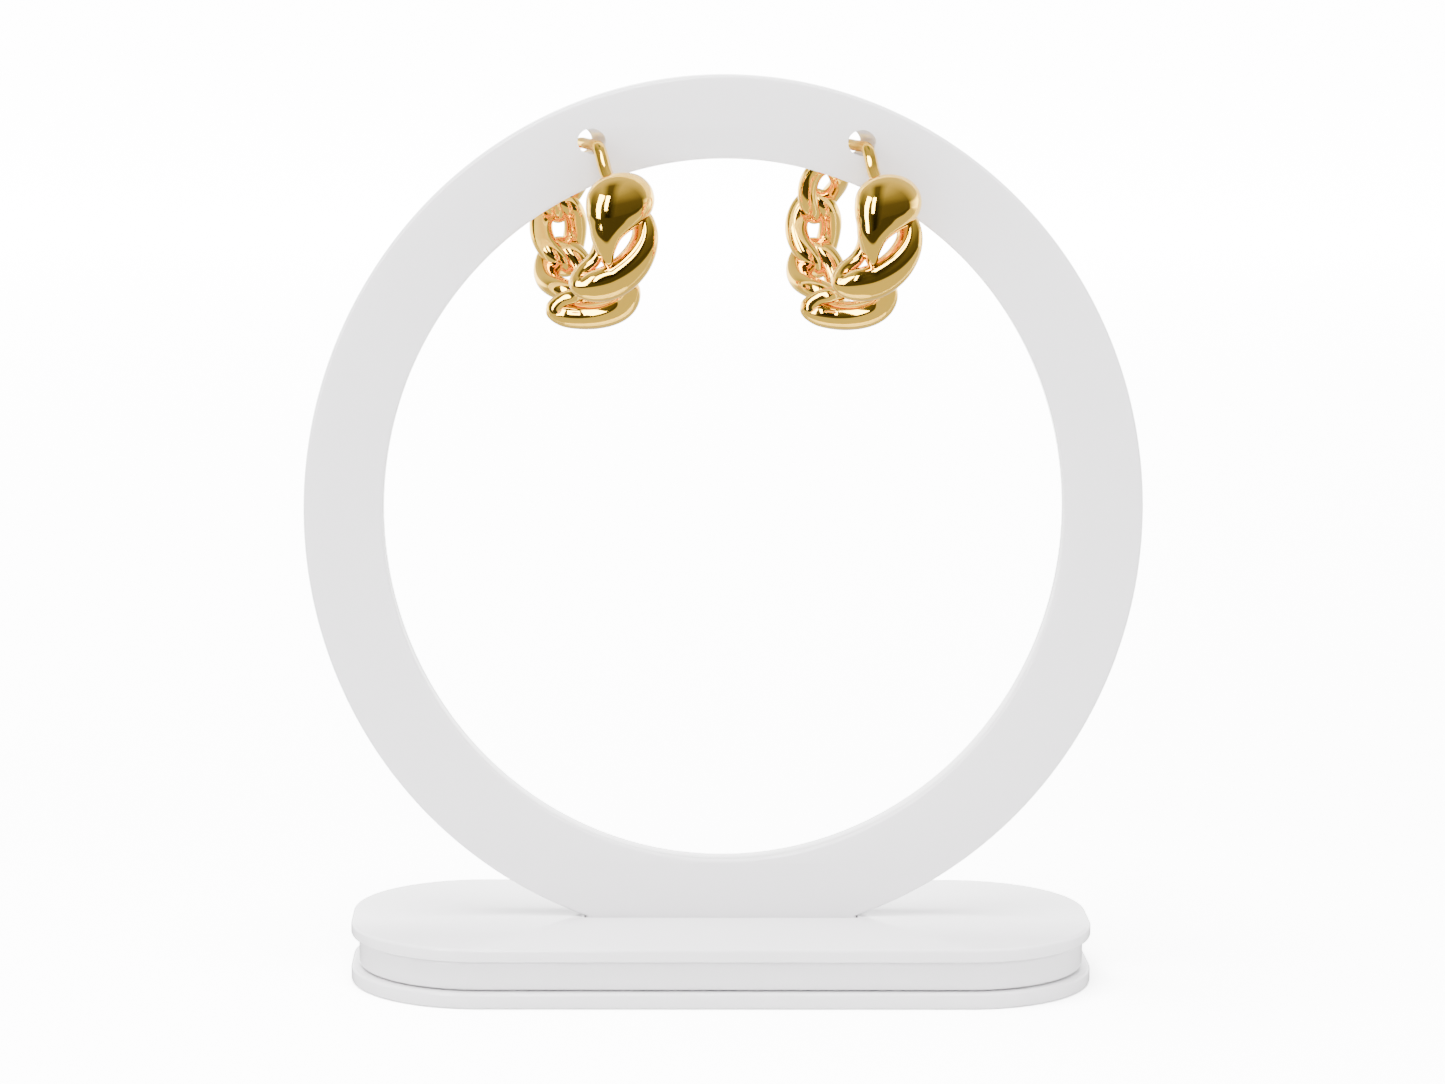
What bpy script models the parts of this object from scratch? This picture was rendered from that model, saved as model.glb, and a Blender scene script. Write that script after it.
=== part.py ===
"""A pair of chain-link hoop earrings hanging on a white acrylic ring stand.

Metres, +Z up. The origin is the middle of the base's underside, and the front faces -Y.
"""

import math

import bmesh
import bpy
from mathutils import Matrix, Vector

MM = 0.001

# Base: two thin plates with rounded ends, and a thicker core set back between them
BASE_LENGTH = 93.4 * MM
BASE_DEPTH = 39.0 * MM
BASE_CORNER_RADIUS = 16.5 * MM
FOOT_PLATE_THICKNESS = 2.0 * MM
CORE_THICKNESS = 3.5 * MM
TOP_PLATE_THICKNESS = 1.7 * MM
CORE_SETBACK = 1.0 * MM
PLATE_EDGE_CHAMFER = 0.3 * MM

# Ring: an upright flat plate, a little taller than wide, that stands in a slot of the top plate
RING_WIDTH = 105.0 * MM
RING_HEIGHT_RATIO = 1.038
RING_BAND_WIDTH = 9.9 * MM
RING_THICKNESS = 4.0 * MM
RING_EDGE_CHAMFER = 0.35 * MM
TAB_WIDTH = 34.2 * MM
TAB_SHOULDER_RISE = 0.08 * MM
EAR_HOLE_RADIUS = 1.6 * MM
EAR_HOLE_SLANT_DEG = 24.0
EAR_HOLE_SPACING = 33.4 * MM
EAR_HOLE_DROP = 5.4 * MM

# Gap that touching pieces keep
SEAT_GAP = 0.2 * MM

# Hoop: curb links soldered in an open circle, the first one swollen into a dome.
# Sizes fall towards the back. Angles are about the hoop's axis, from its front, upwards.
HOOP_RADIUS = 9.4 * MM
HOOP_HANG = 11.06 * MM
HOOP_SHIFT = 0.5 * MM
DOME_DEG = 12.5
FRONT_LINKS = (
    # angle_deg, size
    (-20.0, 0.97),
    (-81.0, 0.87),
)
BACK_LINKS = (
    # angle_deg, size
    (-133.0, 1.08),
    (-174.0, 1.0),
    (-211.0, 0.85),
)

# A back link is a twisted oval
BACK_HALF_LENGTH = 4.3 * MM
BACK_HALF_WIDTH = 2.3 * MM
BACK_WIRE_HALF = 1.25 * MM
BACK_TWIST_DEG = 42.0

# A front link's closed wire, in shares of LINK_LENGTH: it rises from under the link before, bulges to the
# right, crosses to the lower left over the next link, and comes back behind
LINK_LENGTH = 10.0 * MM
LINK_WIRE = (
    # down, right, out, half_width, half_depth
    (-0.68, 0.15, -0.09, 0.11, 0.11),
    (-0.53, 0.31, 0.0, 0.14, 0.15),
    (-0.28, 0.32, 0.06, 0.175, 0.19),
    (-0.02, 0.18, 0.11, 0.215, 0.2),
    (0.19, -0.07, 0.13, 0.23, 0.2),
    (0.27, -0.34, 0.11, 0.19, 0.18),
    (0.29, -0.49, 0.04, 0.12, 0.13),
    (0.19, -0.4, -0.09, 0.1, 0.11),
    (0.03, -0.26, -0.14, 0.09, 0.11),
    (-0.18, -0.2, -0.15, 0.09, 0.11),
    (-0.46, -0.2, -0.14, 0.09, 0.11),
    (-0.66, -0.05, -0.14, 0.11, 0.11),
)

# The dome, in shares of LINK_LENGTH: sections across the chain, from its round top to its tip at the
# lower left
DOME = (
    # down, right, out, half_width, half_depth
    (-0.55, 0.11, 0.0, 0.07, 0.05),
    (-0.52, 0.1, 0.02, 0.21, 0.12),
    (-0.44, 0.07, 0.05, 0.33, 0.2),
    (-0.3, 0.03, 0.08, 0.425, 0.26),
    (-0.15, 0.0, 0.09, 0.445, 0.28),
    (-0.02, -0.04, 0.09, 0.41, 0.26),
    (0.08, -0.1, 0.09, 0.33, 0.23),
    (0.22, -0.21, 0.09, 0.195, 0.19),
    (0.36, -0.23, 0.1, 0.12, 0.15),
    (0.48, -0.2, 0.11, 0.075, 0.1),
    (0.55, -0.18, 0.11, 0.035, 0.05),
)

# Each hoop hangs turned, its front swung to +X, slid a little along its hole, and leaning
LEFT_HOOP_TURN_DEG = 24.0
LEFT_HOOP_Y = 0.0 * MM
LEFT_HOOP_LEAN_DEG = 0.0
RIGHT_HOOP_TURN_DEG = 25.0
RIGHT_HOOP_Y = 0.4 * MM
RIGHT_HOOP_LEAN_DEG = 5.0
LEAN_PIVOT_HEIGHT = 10.8 * MM

# Ear bar: a flat-sided bar that rises from the dome, bends and runs back to the last link
BAR_WIDTH = 1.6 * MM
BAR_DEPTH = 1.4 * MM
BAR_CHAMFER_SHARE = 0.45
BAR_GAP = 0.2 * MM
BAR_PATH = (
    # forward, height, in shares of HOOP_RADIUS from the hoop's centre
    (0.73, 0.64),
    (0.55, 0.81),
    (0.42, 1.0),
    (0.335, 1.093),
    (0.235, 1.126),
    (0.0, 1.13),
    (-0.277, 1.128),
    (-0.553, 1.043),
    (-0.787, 0.84),
)

# Facets, and the grid on which soldered links become one surface
PATH_STEPS = 32
WIRE_SIDES = 14
DOME_SIDES = 20
SOLDER_GRID = 0.25 * MM
KEPT_FACES = 0.09

BASE_TOP = FOOT_PLATE_THICKNESS + CORE_THICKNESS + TOP_PLATE_THICKNESS + 2 * SEAT_GAP
SLOT_FLOOR = BASE_TOP - TOP_PLATE_THICKNESS
RING_HALF_WIDTH = RING_WIDTH / 2
RING_HALF_HEIGHT = RING_HALF_WIDTH * RING_HEIGHT_RATIO
TAB_JOIN = math.asin(TAB_WIDTH / 2 / RING_HALF_WIDTH)
RING_CENTRE_HEIGHT = BASE_TOP + TAB_SHOULDER_RISE + RING_HALF_HEIGHT * math.cos(TAB_JOIN)
EAR_HOLE_X = EAR_HOLE_SPACING / 2


def clear_scene():
    for item in list(bpy.data.objects):
        bpy.data.objects.remove(item)


def make_collection(name):
    found = bpy.data.collections.new(name)
    bpy.context.scene.collection.children.link(found)
    return found


def make_material(name, colour, metallic, roughness):
    material = bpy.data.materials.new(name)
    material.use_nodes = True
    shader = material.node_tree.nodes["Principled BSDF"]
    shader.inputs["Base Color"].default_value = (*colour, 1.0)
    shader.inputs["Metallic"].default_value = metallic
    shader.inputs["Roughness"].default_value = roughness
    return material


def plate(name, outlines, thickness, chamfer, material, collection):
    """A flat plate from closed outlines in its own XY plane, the first one its edge and the rest its holes."""
    curve = bpy.data.curves.new(name, "CURVE")
    curve.dimensions = "2D"
    curve.fill_mode = "BOTH"
    curve.extrude = thickness / 2 - chamfer
    curve.bevel_depth = chamfer
    curve.bevel_resolution = 0
    curve.offset = -chamfer
    for outline in outlines:
        spline = curve.splines.new("POLY")
        spline.points.add(len(outline) - 1)
        for point, (x, y) in zip(spline.points, outline):
            point.co = (x, y, 0.0, 1.0)
        spline.use_cyclic_u = True
    curve.materials.append(material)
    made = bpy.data.objects.new(name, curve)
    collection.objects.link(made)
    return made


def rounded_rectangle(length, depth, radius, steps=14):
    points = []
    for corner in range(4):
        sx = 1 if corner in (0, 3) else -1
        sy = 1 if corner in (0, 1) else -1
        for step in range(steps + 1):
            turn = math.radians(90.0 * (corner + step / steps))
            x = sx * (length / 2 - radius) + radius * math.cos(turn)
            y = sy * (depth / 2 - radius) + radius * math.sin(turn)
            points.append((x, y))
    return points


def ellipse(centre_y, half_x, half_y, steps=96):
    turns = [2 * math.pi * step / steps for step in range(steps)]
    return [(half_x * math.cos(turn), centre_y + half_y * math.sin(turn)) for turn in turns]


def ring_outline(steps=108):
    """The ring's outer edge: an upright ellipse that ends in a straight tab."""
    points = []
    for step in range(steps + 1):
        turn = TAB_JOIN - math.pi / 2 + (2 * math.pi - 2 * TAB_JOIN) * step / steps
        x = RING_HALF_WIDTH * math.cos(turn)
        points.append((x, RING_CENTRE_HEIGHT + RING_HALF_HEIGHT * math.sin(turn)))
    tab_floor = SLOT_FLOOR + SEAT_GAP
    points.append((-TAB_WIDTH / 2, tab_floor))
    points.append((TAB_WIDTH / 2, tab_floor))
    return points


def ear_hole_height():
    share = math.sqrt(1 - (EAR_HOLE_X / RING_HALF_WIDTH) ** 2)
    return RING_CENTRE_HEIGHT + RING_HALF_HEIGHT * share - EAR_HOLE_DROP


def build_stand(acrylic, collection, cutters):
    core_bottom = FOOT_PLATE_THICKNESS + SEAT_GAP
    top_bottom = core_bottom + CORE_THICKNESS + SEAT_GAP
    outline = rounded_rectangle(BASE_LENGTH, BASE_DEPTH, BASE_CORNER_RADIUS)
    core_outline = rounded_rectangle(
        BASE_LENGTH - 2 * CORE_SETBACK, BASE_DEPTH - 2 * CORE_SETBACK, BASE_CORNER_RADIUS - CORE_SETBACK
    )
    slot_x = TAB_WIDTH / 2 + SEAT_GAP
    slot_y = RING_THICKNESS / 2 + SEAT_GAP
    slot = [(-slot_x, -slot_y), (slot_x, -slot_y), (slot_x, slot_y), (-slot_x, slot_y)]

    foot = plate("base_foot_plate", [outline], FOOT_PLATE_THICKNESS, PLATE_EDGE_CHAMFER, acrylic, collection)
    foot.location.z = FOOT_PLATE_THICKNESS / 2
    core = plate("base_core", [core_outline], CORE_THICKNESS, PLATE_EDGE_CHAMFER, acrylic, collection)
    core.location.z = core_bottom + CORE_THICKNESS / 2
    top = plate("base_top_plate", [outline, slot], TOP_PLATE_THICKNESS, PLATE_EDGE_CHAMFER, acrylic, collection)
    top.location.z = top_bottom + TOP_PLATE_THICKNESS / 2

    half_x = RING_HALF_WIDTH - RING_BAND_WIDTH
    opening = ellipse(RING_CENTRE_HEIGHT, half_x, half_x * RING_HEIGHT_RATIO)
    curve = plate("ring_curve", [ring_outline(), opening], RING_THICKNESS, RING_EDGE_CHAMFER, acrylic, collection)
    curve.rotation_euler.x = math.pi / 2
    ring = mesh_from(curve, "ring_plate", collection)
    for side in (-1, 1):
        drill = cylinder(EAR_HOLE_RADIUS, 4 * RING_THICKNESS, f"ear_hole_drill_{side}", cutters)
        drill.rotation_euler = (math.pi / 2, 0.0, math.radians(EAR_HOLE_SLANT_DEG))
        drill.location = (ear_hole_x(side), 0.0, ear_hole_height())
        boolean(ring, drill, "DIFFERENCE")


def ear_hole_x(side):
    """Where the slanted hole's axis crosses the plate's middle: it enters the front face at EAR_HOLE_X."""
    return side * EAR_HOLE_X - RING_THICKNESS / 2 * math.tan(math.radians(EAR_HOLE_SLANT_DEG))


def mesh_from(item, name, collection):
    """The evaluated mesh of a curve, with its caps welded, in the curve's place."""
    bpy.context.view_layer.update()
    graph = bpy.context.evaluated_depsgraph_get()
    mesh = bpy.data.meshes.new_from_object(item.evaluated_get(graph))
    welded = bmesh.new()
    welded.from_mesh(mesh)
    bmesh.ops.remove_doubles(welded, verts=welded.verts, dist=1e-6)
    keep_largest_shell(welded)
    bmesh.ops.recalc_face_normals(welded, faces=welded.faces)
    welded.to_mesh(mesh)
    welded.free()
    made = bpy.data.objects.new(name, mesh)
    made.matrix_world = item.matrix_world
    collection.objects.link(made)
    bpy.data.objects.remove(item)
    return made


def keep_largest_shell(made):
    """Removes what isn't joined to the largest surface, such as hollows shut inside soldered wire."""
    left = set(made.verts)
    shells = []
    while left:
        shell, edge = set(), [left.pop()]
        while edge:
            vert = edge.pop()
            shell.add(vert)
            for link in vert.link_edges:
                other = link.other_vert(vert)
                if other in left:
                    left.remove(other)
                    edge.append(other)
        shells.append(shell)
    shells.sort(key=len)
    for shell in shells[:-1]:
        bmesh.ops.delete(made, geom=list(shell), context="VERTS")


def cylinder(radius, height, name, collection):
    made = bmesh.new()
    bmesh.ops.create_cone(
        made, cap_ends=True, segments=32, radius1=radius, radius2=radius, depth=height
    )
    mesh = bpy.data.meshes.new(name)
    made.to_mesh(mesh)
    made.free()
    item = bpy.data.objects.new(name, mesh)
    collection.objects.link(item)
    return item


def boolean(item, other, operation):
    modifier = item.modifiers.new(f"{operation.lower()}_{other.name}", "BOOLEAN")
    modifier.operation = operation
    modifier.solver = "EXACT"
    modifier.object = other


def along_curve(rows, step, steps):
    """A smooth closed curve's values, at one of its even steps through these rows."""
    count = len(rows)
    place = step * count / steps
    index, t = int(place), place - int(place)
    before, here, after, last = (rows[(index + k) % count] for k in (-1, 0, 1, 2))
    return [
        b + 0.5 * t * (c - a + t * (2 * a - 5 * b + 4 * c - d + t * (3 * (b - c) + d - a)))
        for a, b, c, d in zip(before, here, after, last)
    ]


def bent_round_hoop(point, link_angle):
    """Bends a point of a straight chain round the hoop, whose axis is X and whose front is -Y."""
    angle = link_angle - point.x / HOOP_RADIUS
    radius = HOOP_RADIUS + point.z
    return Vector((point.y, -radius * math.cos(angle), radius * math.sin(angle)))


def add_loft(made, rings, closed):
    """Faces through rings of points, joined end to end or capped."""
    rows = [[made.verts.new(point) for point in ring] for ring in rings]
    sides = len(rings[0])
    for step in range(len(rows) if closed else len(rows) - 1):
        here, following = rows[step], rows[(step + 1) % len(rows)]
        for side in range(sides):
            other = (side + 1) % sides
            made.faces.new((here[side], here[other], following[other], following[side]))
    if not closed:
        made.faces.new(rows[0])
        made.faces.new(rows[-1])


def mesh_of(made, name):
    bmesh.ops.recalc_face_normals(made, faces=made.faces)
    mesh = bpy.data.meshes.new(name)
    made.to_mesh(mesh)
    made.free()
    return mesh


def bar_mesh(name, grow):
    made = bmesh.new()
    add_loft(made, bar_rings(grow), False)
    return mesh_of(made, name)


def chain_mesh(name):
    """Every link and the dome, still passing through one another where they are soldered."""
    made = bmesh.new()
    for angle_deg, size in FRONT_LINKS:
        add_loft(made, link_rings(angle_deg, size), True)
    for angle_deg, size in BACK_LINKS:
        add_loft(made, oval_rings(angle_deg, size), True)
    add_loft(made, dome_rings(), False)
    return mesh_of(made, name)


def section(centre, outward, upward, half_width, half_depth, sides):
    ring = []
    for side in range(sides):
        turn = 2 * math.pi * side / sides
        ring.append(
            centre + outward * (half_width * math.cos(turn)) + upward * (half_depth * math.sin(turn))
        )
    return ring


def link_rings(angle_deg, size):
    """One link's wire as rings, bent round the hoop."""
    rings = []
    for step in range(PATH_STEPS):
        down, right, out, half_width, half_depth = along_curve(LINK_WIRE, step, PATH_STEPS)
        centre = Vector((down, right, out))
        after = Vector(along_curve(LINK_WIRE, step + 0.2, PATH_STEPS)[:3])
        tangent = (after - centre).normalized()
        side = tangent.cross(Vector((0.0, 0.0, 1.0))).normalized()
        up = side.cross(tangent)
        ring = section(centre, side, up, half_width, half_depth, WIRE_SIDES)
        scale = size * LINK_LENGTH
        rings.append([bent_round_hoop(point * scale, math.radians(angle_deg)) for point in ring])
    return rings


def dome_rings():
    rings = []
    for down, right, out, half_width, half_depth in DOME:
        centre = Vector((down, right, out))
        across, outward = Vector((0, 1, 0)), Vector((0, 0, 1))
        ring = section(centre, across, outward, half_width, half_depth, DOME_SIDES)
        rings.append([bent_round_hoop(point * LINK_LENGTH, math.radians(DOME_DEG)) for point in ring])
    return rings


def oval_point(turn):
    """The centre line of a back link: along the chain, across it and out of it."""
    twist = math.radians(BACK_TWIST_DEG) * math.cos(turn)
    across = BACK_HALF_WIDTH * math.sin(turn)
    return Vector(
        (BACK_HALF_LENGTH * math.cos(turn), across * math.cos(twist), -across * math.sin(twist))
    )


def oval_rings(angle_deg, size):
    rings = []
    for step in range(PATH_STEPS):
        turn = 2 * math.pi * step / PATH_STEPS
        centre = oval_point(turn)
        tangent = (oval_point(turn + 0.01) - centre).normalized()
        side = tangent.cross(Vector((0.0, 0.0, 1.0))).normalized()
        up = side.cross(tangent)
        ring = section(centre, side, up, BACK_WIRE_HALF, BACK_WIRE_HALF, WIRE_SIDES)
        rings.append([bent_round_hoop(point * size, math.radians(angle_deg)) for point in ring])
    return rings


def bar_rings(grow):
    """The bar's rings, each of eight corners, made larger all round by this much."""
    path = [(forward * HOOP_RADIUS, height * HOOP_RADIUS) for forward, height in BAR_PATH]
    rings = []
    for index, (forward, height) in enumerate(path):
        before, after = path[max(index - 1, 0)], path[min(index + 1, len(path) - 1)]
        tangent = Vector((0.0, -(after[0] - before[0]), after[1] - before[1])).normalized()
        side = Vector((1.0, 0.0, 0.0))
        out = side.cross(tangent).normalized()
        centre = Vector((0.0, -forward, height))
        half_width, half_depth = BAR_WIDTH / 2 + grow, BAR_DEPTH / 2 + grow
        chamfer = BAR_CHAMFER_SHARE * half_depth
        corners = [
            (half_width, half_depth - chamfer), (half_width - chamfer, half_depth),
            (chamfer - half_width, half_depth), (-half_width, half_depth - chamfer),
            (-half_width, chamfer - half_depth), (chamfer - half_width, -half_depth),
            (half_width - chamfer, -half_depth), (half_width, chamfer - half_depth),
        ]
        rings.append([centre + side * a + out * b for a, b in corners])
    return rings


def build_earring(name, side, hoop_turn_deg, hoop_y, lean_deg, gold, collection, cutters):
    turn = math.radians(hoop_turn_deg)
    front_x = side * EAR_HOLE_X
    hoop_x = front_x - (hoop_y + RING_THICKNESS / 2) * math.tan(turn) + HOOP_SHIFT
    pivot = Matrix.Translation((0.0, 0.0, LEAN_PIVOT_HEIGHT))
    lean = pivot @ Matrix.Rotation(math.radians(lean_deg), 4, "Y") @ pivot.inverted()
    spin = Matrix.Rotation(turn, 4, "Z")
    centre = Vector((hoop_x, hoop_y, ear_hole_height() - HOOP_HANG))
    place = Matrix.Translation(centre) @ spin @ lean

    def put(mesh, item_name, target):
        item = bpy.data.objects.new(item_name, mesh)
        item.matrix_world = place
        mesh.materials.append(gold)
        for face in mesh.polygons:
            face.use_smooth = True
        target.objects.link(item)
        return item

    chain = put(chain_mesh(f"{name}_chain"), f"{name}_chain", collection)
    solder = chain.modifiers.new("solder", "REMESH")
    solder.mode = "VOXEL"
    solder.voxel_size = SOLDER_GRID
    hoop = mesh_from(chain, f"{name}_hoop", collection)
    fewer = hoop.modifiers.new("fewer_faces", "DECIMATE")
    fewer.ratio = KEPT_FACES
    slot = put(bar_mesh(f"{name}_bar_slot", BAR_GAP), f"{name}_bar_slot", cutters)
    boolean(hoop, slot, "DIFFERENCE")
    put(bar_mesh(f"{name}_ear_bar", 0.0), f"{name}_ear_bar", collection)


def main():
    clear_scene()
    pieces = make_collection("hoop_earrings_on_stand")
    cutters = make_collection("cutters")
    cutters.hide_render = True
    acrylic = make_material("acrylic", (0.9, 0.9, 0.91), 0.0, 0.15)
    gold = make_material("gold", (0.95, 0.68, 0.25), 1.0, 0.08)
    build_stand(acrylic, pieces, cutters)
    hang = (
        ("left", -1, LEFT_HOOP_TURN_DEG, LEFT_HOOP_Y, LEFT_HOOP_LEAN_DEG),
        ("right", 1, RIGHT_HOOP_TURN_DEG, RIGHT_HOOP_Y, RIGHT_HOOP_LEAN_DEG),
    )
    for name, side, turn_deg, hoop_y, lean_deg in hang:
        build_earring(name, side, turn_deg, hoop_y, lean_deg, gold, pieces, cutters)
    for item in cutters.objects:
        item.display_type = "WIRE"


main()
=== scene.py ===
import math

import bmesh
import bpy
from mathutils import Matrix, Vector


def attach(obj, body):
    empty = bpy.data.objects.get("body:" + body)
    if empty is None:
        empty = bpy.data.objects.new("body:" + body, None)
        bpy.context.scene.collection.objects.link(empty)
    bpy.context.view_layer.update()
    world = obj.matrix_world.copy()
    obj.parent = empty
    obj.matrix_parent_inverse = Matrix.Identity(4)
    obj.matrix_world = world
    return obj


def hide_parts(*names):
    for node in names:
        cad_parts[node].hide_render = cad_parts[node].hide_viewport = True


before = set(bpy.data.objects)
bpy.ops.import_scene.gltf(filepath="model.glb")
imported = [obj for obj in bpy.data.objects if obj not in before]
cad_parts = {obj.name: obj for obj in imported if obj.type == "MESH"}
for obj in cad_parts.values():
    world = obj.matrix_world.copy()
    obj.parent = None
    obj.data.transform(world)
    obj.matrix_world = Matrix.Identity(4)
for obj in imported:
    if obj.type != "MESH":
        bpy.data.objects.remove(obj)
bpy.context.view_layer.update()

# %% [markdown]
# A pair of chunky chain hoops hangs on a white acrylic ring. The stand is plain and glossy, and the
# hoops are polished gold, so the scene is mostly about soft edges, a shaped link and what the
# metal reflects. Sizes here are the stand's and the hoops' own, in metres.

MM = 0.001

BASE_LENGTH, BASE_DEPTH, BASE_CORNER = 93.4 * MM, 39.0 * MM, 16.5 * MM
FOOT_PLATE, CORE, TOP_PLATE, SEAT_GAP = 2.0 * MM, 3.5 * MM, 1.7 * MM, 0.2 * MM
CORE_SETBACK = 1.0 * MM
RING_HALF_WIDTH, OPENING_HALF_WIDTH, RING_RATIO = 52.5 * MM, 42.6 * MM, 1.038
RING_THICKNESS, TAB_SHOULDER_RISE = 4.0 * MM, 0.08 * MM
RING_EDGE, PLATE_EDGE = 0.45 * MM, 0.4 * MM
TAB_WIDTH = 34.2 * MM
HOLE_RADIUS, HOLE_X, HOLE_DROP, HOLE_SLANT_DEG = 1.6 * MM, 16.7 * MM, 5.4 * MM, 24.0

HOOP_RADIUS, HOOP_HANG, HOOP_SHIFT = 9.4 * MM, 11.06 * MM, 0.5 * MM
LINK_LENGTH, LEAN_PIVOT_HEIGHT = 10.0 * MM, 10.8 * MM
BAR_WIDTH, BAR_DEPTH = 1.6 * MM, 1.4 * MM

BASE_TOP = FOOT_PLATE + CORE + TOP_PLATE + 2 * SEAT_GAP
RING_HALF_HEIGHT = RING_HALF_WIDTH * RING_RATIO
TAB_JOIN = math.asin(TAB_WIDTH / 2 / RING_HALF_WIDTH)
RING_CENTRE_HEIGHT = BASE_TOP + TAB_SHOULDER_RISE + RING_HALF_HEIGHT * math.cos(TAB_JOIN)

# %% [markdown]
# White acrylic is a glossy plastic that lets a little light into itself. A Principled shader with a low
# roughness gives a soft mirror image of the ring in the base, and a faint noise in the roughness keeps
# large flat faces from looking computed. The gold is a full mirror metal, and a fine noise in its
# roughness and in a very slight bump stands for what polishing leaves. An image could hold either
# noise, but one on Object coordinates needs no unwrapping.

# %% Materials
ACRYLIC_COLOUR, ACRYLIC_IOR = (0.80, 0.785, 0.80), 1.49
GOLD_COLOUR = (1.0, 0.61, 0.07)


def new_material(name):
    material = bpy.data.materials.new(name)
    material.use_nodes = True
    return material, material.node_tree, material.node_tree.nodes["Principled BSDF"]


def add_noise(tree, scale, detail, low, high):
    """A noise on Object coordinates, mapped to a range."""
    place = tree.nodes.new("ShaderNodeTexCoord")
    noise = tree.nodes.new("ShaderNodeTexNoise")
    noise.inputs["Scale"].default_value = scale
    noise.inputs["Detail"].default_value = detail
    fit = tree.nodes.new("ShaderNodeMapRange")
    fit.inputs["To Min"].default_value = low
    fit.inputs["To Max"].default_value = high
    tree.links.new(place.outputs["Object"], noise.inputs["Vector"])
    tree.links.new(noise.outputs["Fac"], fit.inputs["Value"])
    return fit.outputs["Result"], noise


def make_acrylic(name, colour):
    material, tree, shader = new_material(name)
    shader.inputs["Base Color"].default_value = (*colour, 1.0)
    shader.inputs["IOR"].default_value = ACRYLIC_IOR
    shader.inputs["Subsurface Weight"].default_value = 0.15
    shader.inputs["Subsurface Radius"].default_value = (1.0, 1.0, 1.0)
    shader.inputs["Subsurface Scale"].default_value = 0.002
    roughness, _ = add_noise(tree, 60.0, 2.0, 0.04, 0.07)
    tree.links.new(roughness, shader.inputs["Roughness"])
    return material


def make_gold(name, colour):
    material, tree, shader = new_material(name)
    shader.inputs["Base Color"].default_value = (*colour, 1.0)
    shader.inputs["Metallic"].default_value = 1.0
    roughness, noise = add_noise(tree, 900.0, 2.0, 0.035, 0.065)
    tree.links.new(roughness, shader.inputs["Roughness"])
    bump = tree.nodes.new("ShaderNodeBump")
    bump.inputs["Strength"].default_value = 0.02
    bump.inputs["Distance"].default_value = 0.0001
    tree.links.new(noise.outputs["Fac"], bump.inputs["Height"])
    tree.links.new(bump.outputs["Normal"], shader.inputs["Normal"])
    return material


acrylic = make_acrylic("white_acrylic", ACRYLIC_COLOUR)
gold = make_gold("polished_gold", GOLD_COLOUR)
print("materials:", acrylic.name, gold.name)

# %% [markdown]
# Each plate is a flat outline given thickness, with edges that are rounded rather than cut. A 2D curve with
# a round bevel does it in one step, and its bevel can't fold over itself at corners this wide.

# %% Plates
CORNER_STEPS = 40
WELD_DISTANCE = 0.001 * MM


def finish_piece(piece, node, material):
    """Puts the piece in the frame, in the place of one CAD node."""
    piece.data.materials.clear()
    piece.data.materials.append(material)
    for face in piece.data.polygons:
        face.use_smooth = True
    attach(piece, "root")
    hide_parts(node)
    return piece


def mesh_from(item, name, place):
    """The item's evaluated mesh as a new object at the origin, its faces already in place."""
    bpy.context.view_layer.update()
    graph = bpy.context.evaluated_depsgraph_get()
    mesh = bpy.data.meshes.new_from_object(item.evaluated_get(graph))
    made = bmesh.new()
    made.from_mesh(mesh)
    bmesh.ops.remove_doubles(made, verts=made.verts, dist=WELD_DISTANCE)
    bmesh.ops.transform(made, matrix=place, verts=made.verts)
    bmesh.ops.recalc_face_normals(made, faces=made.faces)
    made.to_mesh(mesh)
    made.free()
    bpy.data.objects.remove(item)
    piece = bpy.data.objects.new(name, mesh)
    bpy.context.scene.collection.objects.link(piece)
    return piece


def plate(name, outlines, thickness, edge, place):
    curve = bpy.data.curves.new(name, "CURVE")
    curve.dimensions = "2D"
    curve.fill_mode = "BOTH"
    curve.extrude = thickness / 2 - edge
    curve.bevel_depth = edge
    curve.bevel_resolution = 4
    curve.offset = -edge
    for outline in outlines:
        spline = curve.splines.new("POLY")
        spline.points.add(len(outline) - 1)
        for point, (x, y) in zip(spline.points, outline):
            point.co = (x, y, 0.0, 1.0)
        spline.use_cyclic_u = True
    item = bpy.data.objects.new(name + "_curve", curve)
    bpy.context.scene.collection.objects.link(item)
    return mesh_from(item, name, place)


def ellipse(centre_y, half_x, half_y, steps):
    turns = [2 * math.pi * step / steps for step in range(steps)]
    return [(half_x * math.cos(t), centre_y + half_y * math.sin(t)) for t in turns]


def rounded_rectangle(length, depth, radius):
    points = []
    for corner in range(4):
        sx = 1 if corner in (0, 3) else -1
        sy = 1 if corner in (0, 1) else -1
        for step in range(CORNER_STEPS + 1):
            turn = math.radians(90.0 * (corner + step / CORNER_STEPS))
            x = sx * (length / 2 - radius) + radius * math.cos(turn)
            points.append((x, sy * (depth / 2 - radius) + radius * math.sin(turn)))
    return points


def raised(height):
    return Matrix.Translation((0.0, 0.0, height))


core_bottom = FOOT_PLATE + SEAT_GAP
top_bottom = core_bottom + CORE + SEAT_GAP
base_outline = rounded_rectangle(BASE_LENGTH, BASE_DEPTH, BASE_CORNER)
core_outline = rounded_rectangle(
    BASE_LENGTH - 2 * CORE_SETBACK, BASE_DEPTH - 2 * CORE_SETBACK, BASE_CORNER - CORE_SETBACK
)
slot_x, slot_y = TAB_WIDTH / 2 + SEAT_GAP / 2, RING_THICKNESS / 2 + SEAT_GAP / 2
slot = [(-slot_x, -slot_y), (slot_x, -slot_y), (slot_x, slot_y), (-slot_x, slot_y)]

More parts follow.
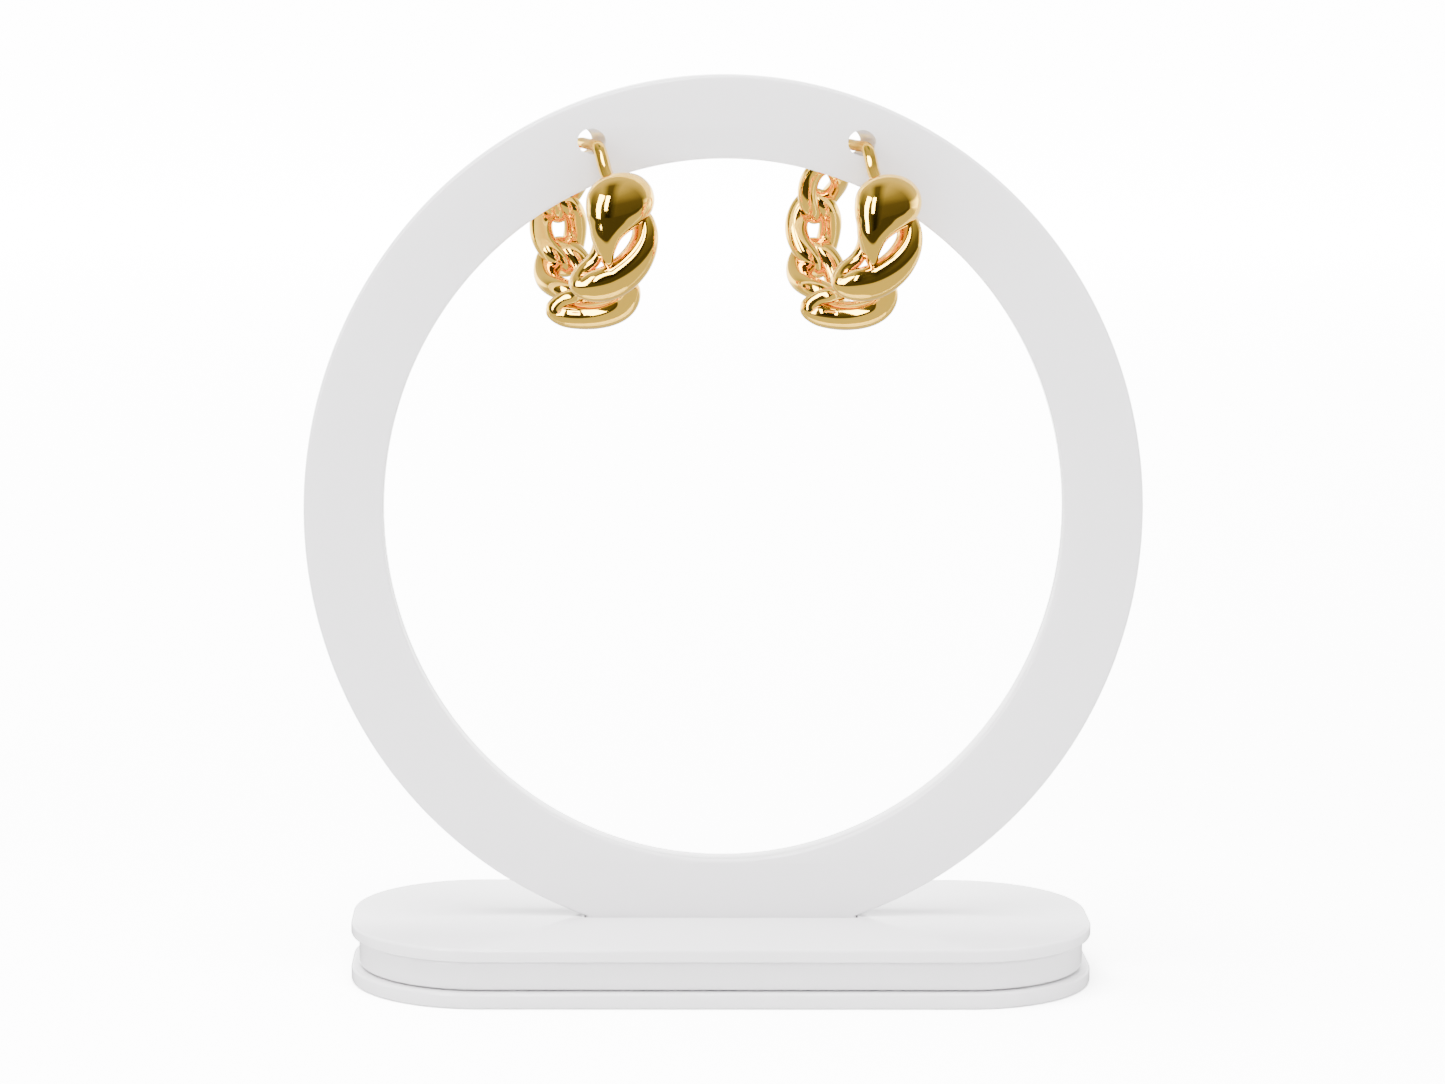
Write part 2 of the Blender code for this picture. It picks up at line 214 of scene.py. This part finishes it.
foot_plate = plate("foot_plate", [base_outline], FOOT_PLATE, PLATE_EDGE, raised(FOOT_PLATE / 2))
core = plate("core", [core_outline], CORE, PLATE_EDGE, raised(core_bottom + CORE / 2))
top_middle = raised(top_bottom + TOP_PLATE / 2)
top_plate = plate("top_plate", [base_outline, slot], TOP_PLATE, PLATE_EDGE, top_middle)
finish_piece(foot_plate, "base_foot_plate", acrylic)
finish_piece(core, "base_core", acrylic)
finish_piece(top_plate, "base_top_plate", acrylic)
print("plates:", foot_plate.name, core.name, top_plate.name)

# %% [markdown]
# The ring is the same kind of plate, stood upright. Its outer edge is an upright ellipse that ends in a
# tab, which stands in the top plate's slot. Two slanted holes are drilled through the band, because the
# photo shows daylight at one side of each hole only. A Boolean with a slanted cylinder does that.

# %% Ring
RING_STEPS, OPENING_STEPS = 320, 300
DRILL_LENGTH, DRILL_SIDES = 30.0 * MM, 96
PLATE_SHARP_DEG = 40.0


def hole_height():
    share = math.sqrt(1 - (HOLE_X / RING_HALF_WIDTH) ** 2)
    return RING_CENTRE_HEIGHT + RING_HALF_HEIGHT * share - HOLE_DROP


def ring_outline():
    points = []
    for step in range(RING_STEPS + 1):
        turn = TAB_JOIN - math.pi / 2 + (2 * math.pi - 2 * TAB_JOIN) * step / RING_STEPS
        x = RING_HALF_WIDTH * math.cos(turn)
        points.append((x, RING_CENTRE_HEIGHT + RING_HALF_HEIGHT * math.sin(turn)))
    tab_floor = top_bottom + SEAT_GAP
    return points + [(-TAB_WIDTH / 2, tab_floor), (TAB_WIDTH / 2, tab_floor)]


def drill_hole(ring, side):
    """Cuts one slanted hole through the ring's band."""
    made = bmesh.new()
    bmesh.ops.create_cone(
        made,
        cap_ends=True,
        segments=DRILL_SIDES,
        radius1=HOLE_RADIUS,
        radius2=HOLE_RADIUS,
        depth=DRILL_LENGTH,
    )
    mesh = bpy.data.meshes.new("drill")
    made.to_mesh(mesh)
    made.free()
    slant = math.radians(HOLE_SLANT_DEG)
    drill = bpy.data.objects.new("drill", mesh)
    drill.rotation_euler = (math.pi / 2, 0.0, slant)
    drill.location = (side * HOLE_X - RING_THICKNESS / 2 * math.tan(slant), 0.0, hole_height())
    bpy.context.scene.collection.objects.link(drill)
    cut = ring.modifiers.new("hole", "BOOLEAN")
    cut.operation = "DIFFERENCE"
    cut.solver = "EXACT"
    cut.object = drill
    bpy.context.view_layer.update()
    graph = bpy.context.evaluated_depsgraph_get()
    drilled = bpy.data.meshes.new_from_object(ring.evaluated_get(graph))
    ring.modifiers.clear()
    ring.data = drilled
    bpy.data.objects.remove(drill)


opening_half_height = OPENING_HALF_WIDTH * RING_RATIO
opening = ellipse(RING_CENTRE_HEIGHT, OPENING_HALF_WIDTH, opening_half_height, OPENING_STEPS)
upright = Matrix.Rotation(math.pi / 2, 4, "X")
ring = plate("ring", [ring_outline(), opening], RING_THICKNESS, RING_EDGE, upright)
for side in (-1, 1):
    drill_hole(ring, side)
finish_piece(ring, "ring_plate", acrylic)
for piece in (ring, foot_plate, core, top_plate):
    piece.data.set_sharp_from_angle(angle=math.radians(PLATE_SHARP_DEG))
print("ring:", len(ring.data.polygons), "faces")

# %% [markdown]
# A link is a wire carried round a closed path, so it is lofted from rings of points. The two front links
# are broad crescents: each rises from under the one before it, bulges to the right, crosses to the lower
# left and comes back behind. The back links are smaller twisted ovals. The first link is a dome that
# narrows to a tip, and is a stack of oval sections. The second front link stands a little further up the
# hoop than the solid's, so that the two front links meet.

# %% Links
FRONT_WIRE = (
    # down, right, out, half_width, half_depth, in shares of LINK_LENGTH
    (-0.68, 0.15, -0.09, 0.11, 0.11),
    (-0.53, 0.31, 0.0, 0.14, 0.15),
    (-0.28, 0.32, 0.06, 0.175, 0.19),
    (-0.02, 0.18, 0.11, 0.215, 0.2),
    (0.19, -0.07, 0.13, 0.23, 0.2),
    (0.27, -0.34, 0.11, 0.19, 0.18),
    (0.29, -0.49, 0.04, 0.12, 0.13),
    (0.19, -0.4, -0.09, 0.1, 0.11),
    (0.03, -0.26, -0.14, 0.09, 0.11),
    (-0.18, -0.2, -0.15, 0.09, 0.11),
    (-0.46, -0.2, -0.14, 0.09, 0.11),
    (-0.66, -0.05, -0.14, 0.11, 0.11),
)
DOME = (
    # down, right, out, half_width, half_depth, in shares of LINK_LENGTH
    (-0.55, 0.11, 0.0, 0.07, 0.05),
    (-0.52, 0.1, 0.02, 0.21, 0.12),
    (-0.44, 0.07, 0.05, 0.33, 0.2),
    (-0.3, 0.03, 0.08, 0.425, 0.26),
    (-0.15, 0.0, 0.09, 0.445, 0.28),
    (-0.02, -0.04, 0.09, 0.41, 0.26),
    (0.08, -0.1, 0.09, 0.33, 0.23),
    (0.22, -0.21, 0.09, 0.195, 0.19),
    (0.36, -0.23, 0.1, 0.12, 0.15),
    (0.48, -0.2, 0.11, 0.075, 0.1),
    (0.55, -0.18, 0.11, 0.035, 0.05),
)
BACK_HALF_LENGTH, BACK_HALF_WIDTH = 4.3 * MM, 2.3 * MM
BACK_WIRE_HALF_WIDTH, BACK_WIRE_HALF_DEPTH = 1.5 * MM, 1.3 * MM
BACK_TWIST_DEG = 42.0
STATIONS = (
    # angle_deg, size, kind
    (12.5, 1.0, "dome"),
    (-20.0, 0.97, "front"),
    (-76.5, 0.9, "front"),
    (-133.0, 1.08, "back"),
    (-174.0, 1.0, "back"),
    (-211.0, 0.85, "back"),
)
KINDS = ("dome", "front", "back")
WIRE_STEPS, WIRE_SIDES = 120, 36
DOME_STEPS, DOME_SIDES = 90, 64
STEP_AHEAD = 0.3


def spline_value(rows, place, closed):
    """A smooth curve's values at a place counted in rows."""
    count = len(rows)
    index = min(int(place), count - 1 if closed else count - 2)
    t = place - index
    picks = [index + k for k in (-1, 0, 1, 2)]
    picks = [p % count if closed else max(0, min(p, count - 1)) for p in picks]
    before, here, after, last = (rows[p] for p in picks)
    return [
        b + 0.5 * t * (c - a + t * (2 * a - 5 * b + 4 * c - d + t * (3 * (b - c) + d - a)))
        for a, b, c, d in zip(before, here, after, last)
    ]


def oval_ring(centre, side, up, half_width, half_depth, sides):
    turns = [2 * math.pi * s / sides for s in range(sides)]
    return [centre + side * (half_width * math.cos(t)) + up * (half_depth * math.sin(t)) for t in turns]


def loft(name, rings, closed):
    made = bmesh.new()
    rows = [[made.verts.new(point) for point in ring] for ring in rings]
    sides = len(rings[0])
    for step in range(len(rows) if closed else len(rows) - 1):
        here, following = rows[step], rows[(step + 1) % len(rows)]
        for side in range(sides):
            other = (side + 1) % sides
            made.faces.new((here[side], here[other], following[other], following[side]))
    if not closed:
        made.faces.new(rows[0])
        made.faces.new(rows[-1])
    bmesh.ops.recalc_face_normals(made, faces=made.faces)
    mesh = bpy.data.meshes.new(name)
    made.to_mesh(mesh)
    made.free()
    item = bpy.data.objects.new(name, mesh)
    bpy.context.scene.collection.objects.link(item)
    return item


def swept(name, centre_at, halves_at):
    """A closed wire whose width lies across it, in the chain's own plane."""
    rings = []
    for step in range(WIRE_STEPS):
        share = step / WIRE_STEPS
        centre = centre_at(share)
        tangent = (centre_at((step + STEP_AHEAD) / WIRE_STEPS) - centre).normalized()
        side = tangent.cross(Vector((0.0, 0.0, 1.0))).normalized()
        rings.append(oval_ring(centre, side, side.cross(tangent), *halves_at(share), WIRE_SIDES))
    return loft(name, rings, True)


def front_row(share):
    row = spline_value(FRONT_WIRE, (share % 1.0) * len(FRONT_WIRE), True)
    return [LINK_LENGTH * value for value in row]


def back_centre(share):
    turn = 2 * math.pi * share
    twist = math.radians(BACK_TWIST_DEG) * math.cos(turn)
    across = BACK_HALF_WIDTH * math.sin(turn)
    along = BACK_HALF_LENGTH * math.cos(turn)
    return Vector((along, across * math.cos(twist), -across * math.sin(twist)))


def dome_ring(share):
    row = spline_value(DOME, (len(DOME) - 1) * share, False)
    down, right, out, half_width, half_depth = (LINK_LENGTH * value for value in row)
    across, outward = Vector((0.0, 1.0, 0.0)), Vector((0.0, 0.0, 1.0))
    return oval_ring(Vector((down, right, out)), across, outward, half_width, half_depth, DOME_SIDES)


front_link = swept("front_link", lambda s: Vector(front_row(s)[:3]), lambda s: front_row(s)[3:])
back_link = swept("back_link", back_centre, lambda s: (BACK_WIRE_HALF_WIDTH, BACK_WIRE_HALF_DEPTH))
dome = loft("dome", [dome_ring(step / DOME_STEPS) for step in range(DOME_STEPS + 1)], False)
print("link shapes:", front_link.name, back_link.name, dome.name)

# %% [markdown]
# The links repeat along the hoop, so Geometry Nodes lays them: one point for each link stands on a
# straight line, each point takes the link of its kind at its own size, and one bend then turns the line
# into the hoop. The bend comes after the laying, so that each link curves with the hoop.

# %% Geometry Nodes: links round a hoop


def links_round_hoop_tree():
    tree = bpy.data.node_groups.new("links_round_hoop", "GeometryNodeTree")
    face = tree.interface
    face.new_socket("Stations", in_out="INPUT", socket_type="NodeSocketGeometry")
    for kind in KINDS:
        face.new_socket(kind.capitalize() + " Link", in_out="INPUT", socket_type="NodeSocketObject")
    face.new_socket("Hoop Radius", in_out="INPUT", socket_type="NodeSocketFloat")
    face.new_socket("Finish", in_out="INPUT", socket_type="NodeSocketMaterial")
    face.new_socket("Hoop", in_out="OUTPUT", socket_type="NodeSocketGeometry")
    new, link = tree.nodes.new, tree.links.new
    given, result = new("NodeGroupInput"), new("NodeGroupOutput")

    size = new("GeometryNodeInputNamedAttribute")
    size.data_type = "FLOAT"
    size.inputs["Name"].default_value = "size"
    kind_of = new("GeometryNodeInputNamedAttribute")
    kind_of.data_type = "INT"
    kind_of.inputs["Name"].default_value = "kind"
    joined = new("GeometryNodeJoinGeometry")
    for number, kind in enumerate(KINDS):
        shape = new("GeometryNodeObjectInfo")
        link(given.outputs[kind.capitalize() + " Link"], shape.inputs["Object"])
        same = new("FunctionNodeCompare")
        same.data_type = "INT"
        same.operation = "EQUAL"
        link(kind_of.outputs["Attribute"], same.inputs[2])
        same.inputs[3].default_value = number
        laid = new("GeometryNodeInstanceOnPoints")
        link(given.outputs["Stations"], laid.inputs["Points"])
        link(same.outputs["Result"], laid.inputs["Selection"])
        link(shape.outputs["Geometry"], laid.inputs["Instance"])
        link(size.outputs["Attribute"], laid.inputs["Scale"])
        link(laid.outputs["Instances"], joined.inputs["Geometry"])
    real = new("GeometryNodeRealizeInstances")
    link(joined.outputs["Geometry"], real.inputs["Geometry"])

    def math_node(operation, first, second=None):
        node = new("ShaderNodeMath")
        node.operation = operation
        for socket, value in zip(node.inputs, (first, second)):
            if isinstance(value, float):
                socket.default_value = value
            elif value is not None:
                link(value, socket)
        return node.outputs[0]

    parts = new("ShaderNodeSeparateXYZ")
    link(new("GeometryNodeInputPosition").outputs["Position"], parts.inputs[0])
    radius = given.outputs["Hoop Radius"]
    angle = math_node("MULTIPLY", math_node("DIVIDE", parts.outputs["X"], radius), -1.0)
    out = math_node("ADD", parts.outputs["Z"], radius)
    forward = math_node("MULTIPLY", math_node("COSINE", angle), out)
    bent = new("ShaderNodeCombineXYZ")
    link(parts.outputs["Y"], bent.inputs["X"])
    link(math_node("MULTIPLY", forward, -1.0), bent.inputs["Y"])
    link(math_node("MULTIPLY", math_node("SINE", angle), out), bent.inputs["Z"])
    moved = new("GeometryNodeSetPosition")
    link(real.outputs["Geometry"], moved.inputs["Geometry"])
    link(bent.outputs["Vector"], moved.inputs["Position"])
    painted = new("GeometryNodeSetMaterial")
    link(moved.outputs["Geometry"], painted.inputs["Geometry"])
    link(given.outputs["Finish"], painted.inputs["Material"])
    link(painted.outputs["Geometry"], result.inputs["Hoop"])
    return tree


def set_input(modifier, name, value):
    sockets = modifier.node_group.interface.items_tree
    modifier[next(s.identifier for s in sockets if s.name == name and s.in_out == "INPUT")] = value


def make_hoop(name, place):
    points = bpy.data.meshes.new(name + "_stations")
    along = [(-math.radians(angle) * HOOP_RADIUS, 0.0, 0.0) for angle, _, _ in STATIONS]
    points.from_pydata(along, [], [])
    sizes = [size for _, size, _ in STATIONS]
    kinds = [KINDS.index(kind) for _, _, kind in STATIONS]
    points.attributes.new("size", "FLOAT", "POINT").data.foreach_set("value", sizes)
    points.attributes.new("kind", "INT", "POINT").data.foreach_set("value", kinds)
    item = bpy.data.objects.new(name + "_stations", points)
    bpy.context.scene.collection.objects.link(item)
    modifier = item.modifiers.new("links", "NODES")
    modifier.node_group = hoop_tree
    set_input(modifier, "Dome Link", dome)
    set_input(modifier, "Front Link", front_link)
    set_input(modifier, "Back Link", back_link)
    set_input(modifier, "Hoop Radius", HOOP_RADIUS)
    set_input(modifier, "Finish", gold)
    return mesh_from(item, name, place)


HANG = (
    # name, side, turn_deg, slide, lean_deg
    ("left", -1, 24.0, 0.0, 0.0),
    ("right", 1, 25.0, 0.4 * MM, 5.0),
)


def hang_place(side, turn_deg, slide, lean_deg):
    turn = math.radians(turn_deg)
    x = side * HOLE_X - (slide + RING_THICKNESS / 2) * math.tan(turn) + HOOP_SHIFT
    pivot = Matrix.Translation((0.0, 0.0, LEAN_PIVOT_HEIGHT))
    lean = pivot @ Matrix.Rotation(math.radians(lean_deg), 4, "Y") @ pivot.inverted()
    place = Matrix.Translation((x, slide, hole_height() - HOOP_HANG))
    return place @ Matrix.Rotation(turn, 4, "Z") @ lean


hoop_tree = links_round_hoop_tree()
for name, side, turn_deg, slide, lean_deg in HANG:
    hoop = make_hoop(name + "_chain_hoop", hang_place(side, turn_deg, slide, lean_deg))
    finish_piece(hoop, name + "_hoop", gold)
    print(hoop.name, len(hoop.data.polygons), "faces")
for shape in (front_link, back_link, dome):
    bpy.data.objects.remove(shape)

# %% [markdown]
# The ear bar is squared where it leaves the dome, with flat chamfers, and grows rounder where it bends
# and runs back through the hole. It is a loft, because a curve's bevel keeps one section all along: each
# section is a rounded square with its corners cut flat, blended towards an oval by its place on the bar.

# %% Ear bars
BAR_PATH = (
    # forward, height, in shares of HOOP_RADIUS from the hoop's centre
    (0.73, 0.64),
    (0.55, 0.81),
    (0.42, 1.0),
    (0.335, 1.093),
    (0.235, 1.126),
    (0.0, 1.13),
    (-0.277, 1.128),
    (-0.553, 1.043),
    (-0.787, 0.84),
)
BAR_STEPS, BAR_SIDES = 70, 32
BAR_SQUARENESS, BAR_CORNER_REACH = 5, 1.34
BAR_ROUNDS_FROM, BAR_ROUNDS_OVER = 2.2, 0.8  # in rows of BAR_PATH
ROW_STEP = 0.05
BAR_SHARP_DEG = 20.0


def bar_ring(share):
    last_row = len(BAR_PATH) - 1
    place = share * last_row
    forward, height = spline_value(BAR_PATH, place, False)
    ahead = spline_value(BAR_PATH, min(place + ROW_STEP, last_row), False)
    behind = spline_value(BAR_PATH, max(place - ROW_STEP, 0.0), False)
    tangent = Vector((0.0, behind[0] - ahead[0], ahead[1] - behind[1])).normalized()
    side = Vector((1.0, 0.0, 0.0))
    up = side.cross(tangent)
    centre = HOOP_RADIUS * Vector((0.0, -forward, height))
    roundness = min(1.0, max(0.0, (place - BAR_ROUNDS_FROM) / BAR_ROUNDS_OVER))
    ring = []
    for step in range(BAR_SIDES):
        turn = 2 * math.pi * (step + 0.5) / BAR_SIDES
        c, s = math.cos(turn), math.sin(turn)
        square = (abs(c) ** BAR_SQUARENESS + abs(s) ** BAR_SQUARENESS) ** (-1 / BAR_SQUARENESS)
        square = min(square, BAR_CORNER_REACH / (abs(c) + abs(s)))
        reach = square + (1.0 - square) * roundness
        ring.append(centre + side * (BAR_WIDTH / 2 * c * reach) + up * (BAR_DEPTH / 2 * s * reach))
    return ring


for name, side, turn_deg, slide, lean_deg in HANG:
    rings = [bar_ring(step / BAR_STEPS) for step in range(BAR_STEPS + 1)]
    item = loft(name + "_bar_loft", rings, False)
    bar = mesh_from(item, name + "_bent_ear_bar", hang_place(side, turn_deg, slide, lean_deg))
    finish_piece(bar, name + "_ear_bar", gold)
    bar.data.set_sharp_from_angle(angle=math.radians(BAR_SHARP_DEG))
    print(bar.name, len(bar.data.polygons), "faces")

# %% [markdown]
# The set is a white floor that fades into a white surround. The floor is matt. The camera sees it whiter
# than it lights the stand, and toward the back it gains a glow for the camera alone, so no horizon shows.
# Mirrors see another floor: it is dark in front and turns light about 0.2 m before the stand, as a
# table's edge would, which draws a crisp line between dark and light across each link. A Light Path node
# tells the two apart. A dark table in front would do the same, but would take light from the base.

# %% Floor
FLOOR_HALF = 12.0
LIT_WHITE, LIT_WHITE_TO_CAMERA = 0.9, 2.6
# near depth, far depth, value at the near one, value at the far one
MIRRORED_EDGE = (-0.24, -0.19, 0.08, 1.05)
MIRRORED_BACK = (0.1, 0.6, 0.0, 5.0)
FADE_FOR_CAMERA = (0.1, 1.2, 0.0, 10.0)


def make_floor_white(name):
    material, tree, shader = new_material(name)
    tree.nodes.remove(shader)
    new, link = tree.nodes.new, tree.links.new
    rays = new("ShaderNodeLightPath")
    depth = new("ShaderNodeSeparateXYZ")
    link(new("ShaderNodeTexCoord").outputs["Object"], depth.inputs[0])

    def by_depth(near, far, from_value, to_value):
        """A value that changes between two depths of the floor."""
        node = new("ShaderNodeMapRange")
        node.inputs["From Min"].default_value = near
        node.inputs["From Max"].default_value = far
        node.inputs["To Min"].default_value = from_value
        node.inputs["To Max"].default_value = to_value
        link(depth.outputs["Y"], node.inputs["Value"])
        return node.outputs["Result"]

    def combined(operation, first, second):
        node = new("ShaderNodeMath")
        node.operation = operation
        link(first, node.inputs[0])
        link(second, node.inputs[1])
        return node.outputs[0]

    def glowing(strength):
        node = new("ShaderNodeEmission")
        link(strength, node.inputs["Strength"])
        return node.outputs[0]

    whiteness = new("ShaderNodeMapRange")
    whiteness.inputs["To Min"].default_value = LIT_WHITE
    whiteness.inputs["To Max"].default_value = LIT_WHITE_TO_CAMERA
    link(rays.outputs["Is Camera Ray"], whiteness.inputs["Value"])
    matt = new("ShaderNodeBsdfDiffuse")
    link(whiteness.outputs["Result"], matt.inputs["Color"])
    fade = combined("MULTIPLY", by_depth(*FADE_FOR_CAMERA), rays.outputs["Is Camera Ray"])
    lit = new("ShaderNodeAddShader")
    link(matt.outputs[0], lit.inputs[0])
    link(glowing(fade), lit.inputs[1])
    mirrored = combined("ADD", by_depth(*MIRRORED_EDGE), by_depth(*MIRRORED_BACK))
    seen = new("ShaderNodeMixShader")
    link(rays.outputs["Is Glossy Ray"], seen.inputs["Fac"])
    link(lit.outputs[0], seen.inputs[1])
    link(glowing(mirrored), seen.inputs[2])
    link(seen.outputs[0], tree.nodes["Material Output"].inputs["Surface"])
    return material


floor_mesh = bpy.data.meshes.new("floor")
signs = ((-1, -1), (1, -1), (1, 1), (-1, 1))
corners = [(sx * FLOOR_HALF, sy * FLOOR_HALF, 0.0) for sx, sy in signs]
floor_mesh.from_pydata(corners, [], [(0, 1, 2, 3)])
floor_mesh.materials.append(make_floor_white("pale_floor"))
floor = bpy.data.objects.new("floor", floor_mesh)
bpy.context.scene.collection.objects.link(floor)
print("floor:", floor.name)

# %% [markdown]
# The lights are a broad soft box overhead and two tall strips, one at the camera's left and one above and
# behind it. The soft box is kept out of reflections, and the strips show in nothing else, so that each
# does one job: the box shades the ring, and the strips give the gold its bright bars.

# %% Lights
AIM = (0.0, 0.0, 0.08)
LIGHTS = (
    # name, place, width, height, power
    ("overhead", (-0.15, -0.15, 1.0), 0.9, 0.7, 42.0),
    ("strip_left", (-0.44, -0.58, 0.42), 0.28, 0.85, 15.0),
    ("strip_right", (-0.10, -0.72, 0.56), 0.15, 0.60, 6.0),
)


def area_light(name, place, width, height, power):
    light = bpy.data.lights.new(name, "AREA")
    light.shape = "RECTANGLE"
    light.size = width
    light.size_y = height
    light.energy = power
    item = bpy.data.objects.new(name, light)
    item.location = place
    item.rotation_euler = (Vector(AIM) - Vector(place)).to_track_quat("-Z", "Y").to_euler()
    bpy.context.scene.collection.objects.link(item)
    return item


overhead, *strips = [area_light(*row) for row in LIGHTS]
overhead.visible_glossy = False
for strip in strips:
    strip.visible_diffuse = False
print("lights:", overhead.name, *[strip.name for strip in strips])

# %% [markdown]
# What the surround gives depends on who looks. The camera sees white, matt faces get an even light, and
# mirrors see a studio: a dark card in the middle front, grey walls beside it that turn lighter with
# height, and a back wall that is brightest low down. Gold in an all-white room looks flat, which is why
# a jewellery photographer stands dark cards beside the camera. An environment image would do it too, but
# a few named bands can be read and changed.

# %% Surround
CAMERA_WHITE, EVEN_LIGHT = 14.0, 1.9
FRONT_BANDS = (
    # height, grey
    (0.0, 0.11), (0.35, 0.14), (0.50, 0.24), (0.70, 0.42), (0.88, 0.8), (1.0, 1.0),
)
BACK_BANDS = (
    # height, grey
    (0.0, 6.5), (0.22, 6.5), (0.32, 1.3), (1.0, 1.1),
)
BRIGHTEST = 7.0
CARD_HALF_WIDTH, CARD_FADES_BY, CARD_SHARE = 0.08, 0.34, 0.15
BACK_WALL_FROM, BACK_WALL_WHOLE = -0.1, 0.4

world = bpy.data.worlds.new("surround")
world.use_nodes = True
bpy.context.scene.world = world
nodes, links = world.node_tree.nodes, world.node_tree.links
nodes.clear()
direction = nodes.new("ShaderNodeTexCoord")
split = nodes.new("ShaderNodeSeparateXYZ")
links.new(direction.outputs["Generated"], split.inputs[0])


def bands(stops):
    """Greys by the height of the direction, as shares of the brightest."""
    node = nodes.new("ShaderNodeValToRGB")
    while len(node.color_ramp.elements) < len(stops):
        node.color_ramp.elements.new(1.0)
    for element, (height, grey) in zip(node.color_ramp.elements, stops):
        share = grey / BRIGHTEST
        element.position = height
        element.color = (share, share, share, 1.0)
    links.new(split.outputs["Z"], node.inputs["Fac"])
    return node.outputs["Color"]


def background(strength):
    node = nodes.new("ShaderNodeBackground")
    node.inputs["Color"].default_value = (1.0, 1.0, 1.0, 1.0)
    node.inputs["Strength"].default_value = strength
    return node


def mixed(share, first, second):
    node = nodes.new("ShaderNodeMixShader")
    links.new(share, node.inputs["Fac"])
    links.new(first, node.inputs[1])
    links.new(second, node.inputs[2])
    return node.outputs[0]


behind = nodes.new("ShaderNodeMapRange")
behind.inputs["From Min"].default_value = BACK_WALL_FROM
behind.inputs["From Max"].default_value = BACK_WALL_WHOLE
links.new(split.outputs["Y"], behind.inputs["Value"])
front_wall, back_wall = background(BRIGHTEST), background(BRIGHTEST)
from_middle = nodes.new("ShaderNodeMath")
from_middle.operation = "ABSOLUTE"
links.new(split.outputs["X"], from_middle.inputs[0])
card = nodes.new("ShaderNodeMapRange")
card.inputs["From Min"].default_value = CARD_HALF_WIDTH
card.inputs["From Max"].default_value = CARD_FADES_BY
card.inputs["To Min"].default_value = CARD_SHARE * BRIGHTEST
card.inputs["To Max"].default_value = BRIGHTEST
links.new(from_middle.outputs[0], card.inputs["Value"])
links.new(card.outputs["Result"], front_wall.inputs["Strength"])
links.new(bands(FRONT_BANDS), front_wall.inputs["Color"])
links.new(bands(BACK_BANDS), back_wall.inputs["Color"])
studio = mixed(behind.outputs["Result"], front_wall.outputs[0], back_wall.outputs[0])
rays = nodes.new("ShaderNodeLightPath")
unseen = mixed(rays.outputs["Is Glossy Ray"], background(EVEN_LIGHT).outputs[0], studio)
seen = mixed(rays.outputs["Is Camera Ray"], unseen, background(CAMERA_WHITE).outputs[0])
output = nodes.new("ShaderNodeOutputWorld")
links.new(seen, output.inputs["Surface"])
print("surround:", world.name)

# %% [markdown]
# The camera stands a little over half a metre off, somewhat higher than the hoops, and looks slightly
# down. Its place and turn come from the stand's edges in the photo.

# %% Camera
CAMERA_PLACE = Vector((-15.3, -544.8, 136.05)) * MM
YAW, PITCH, ROLL = 0.0278, 0.1471, 0.0075
FOCAL_PIXELS, PHOTO_WIDTH = 4389.4, 1445
SENSOR_WIDTH = 36.0

forward = Vector((math.sin(YAW) * math.cos(PITCH), math.cos(YAW) * math.cos(PITCH), -math.sin(PITCH)))
right = Vector((math.cos(YAW), -math.sin(YAW), 0.0))
up = right.cross(forward)
rolled_right = right * math.cos(ROLL) + up * math.sin(ROLL)
rolled_up = up * math.cos(ROLL) - right * math.sin(ROLL)
lens = bpy.data.cameras.new("camera")
lens.sensor_width = SENSOR_WIDTH
lens.lens = FOCAL_PIXELS / PHOTO_WIDTH * SENSOR_WIDTH
camera = bpy.data.objects.new("camera", lens)
turned = Matrix((rolled_right, rolled_up, -forward)).transposed().to_4x4()
camera.matrix_world = Matrix.Translation(CAMERA_PLACE) @ turned
bpy.context.scene.collection.objects.link(camera)
bpy.context.scene.camera = camera
print("lens", round(lens.lens, 1), "mm")
